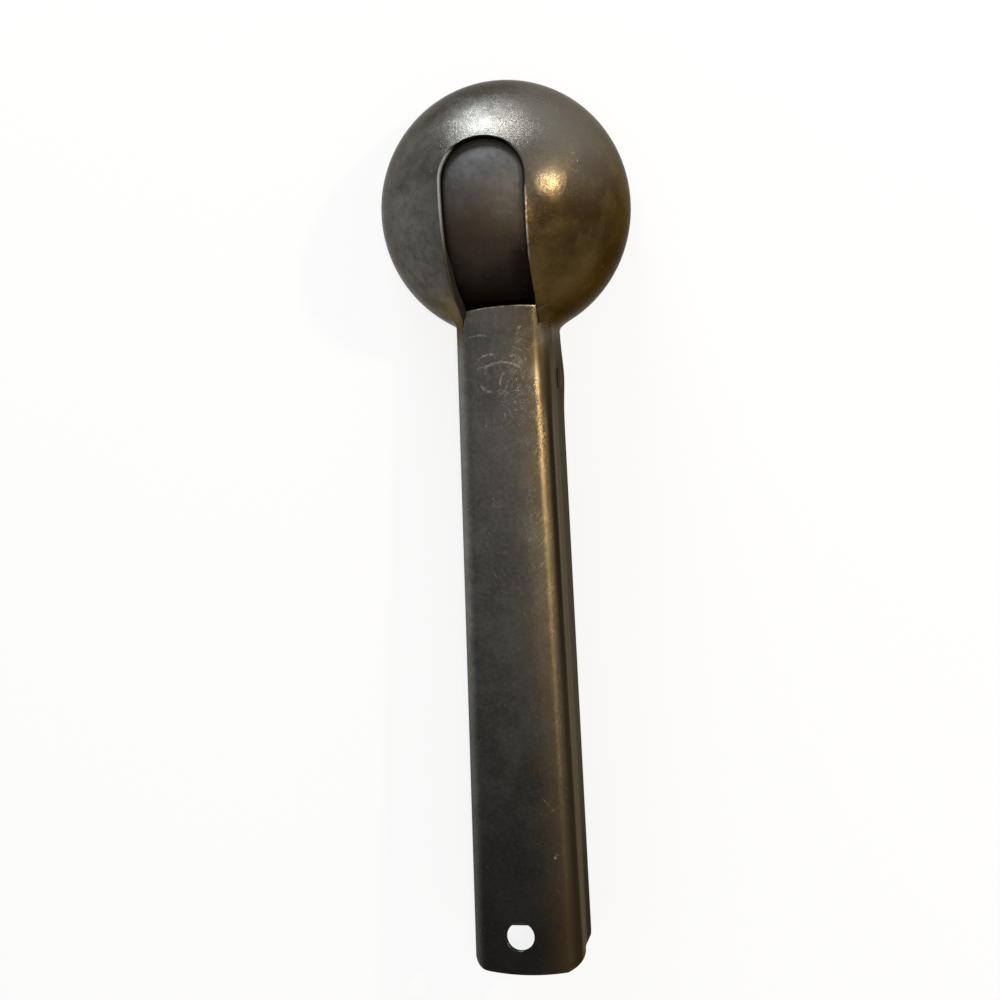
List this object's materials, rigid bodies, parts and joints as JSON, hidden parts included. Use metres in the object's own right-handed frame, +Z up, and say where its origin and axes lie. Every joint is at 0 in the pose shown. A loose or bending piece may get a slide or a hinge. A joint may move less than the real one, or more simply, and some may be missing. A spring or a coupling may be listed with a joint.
{
  "type": "ice cream scoop",
  "caption": "Pressed steel ice cream scoop: round bowl and channel handle in one sheet, with a sprung squeeze lever that tips an ejector blade out of a window in the bowl.",
  "frame": {"origin": "middle of the part's length and width, in the rim plane of the bowl, on which it rests mouth down", "axes": "+Y from the handle's end to the bowl, +Z up through the dome, +X to the right with the dome toward the viewer and the handle down"},
  "size_m": [0.0572, 0.2018, 0.027],
  "materials": {
    "body_steel": "aged, dull, fine pits and scuffs",
    "blade_steel": "aged, brown film",
    "lever_steel": "aged, dull",
    "pin_steel": "worn",
    "spring_steel": "dark, oiled",
    "rivet_steel": "worn"
  },
  "bodies": {
    "scoop": {"scoop_body": "body_steel", "pivot_pin": "pin_steel", "return_spring": "spring_steel"},
    "ejector": {"squeeze_lever": "lever_steel", "ejector_blade": "blade_steel", "blade_rivet_left": "rivet_steel", "blade_rivet_right": "rivet_steel"}
  },
  "joints": [
    {"name": "lever_squeeze", "type": "hinge", "parent": "scoop", "child": "ejector", "pos_m": [0, 0.03321, 0.0052], "axis": [-1, 0, 0], "range_deg": [0, 6], "stiffness_Nm_per_rad": 0.28, "springref_deg": -80.21, "deforming": ["return_spring"]}
  ]
}
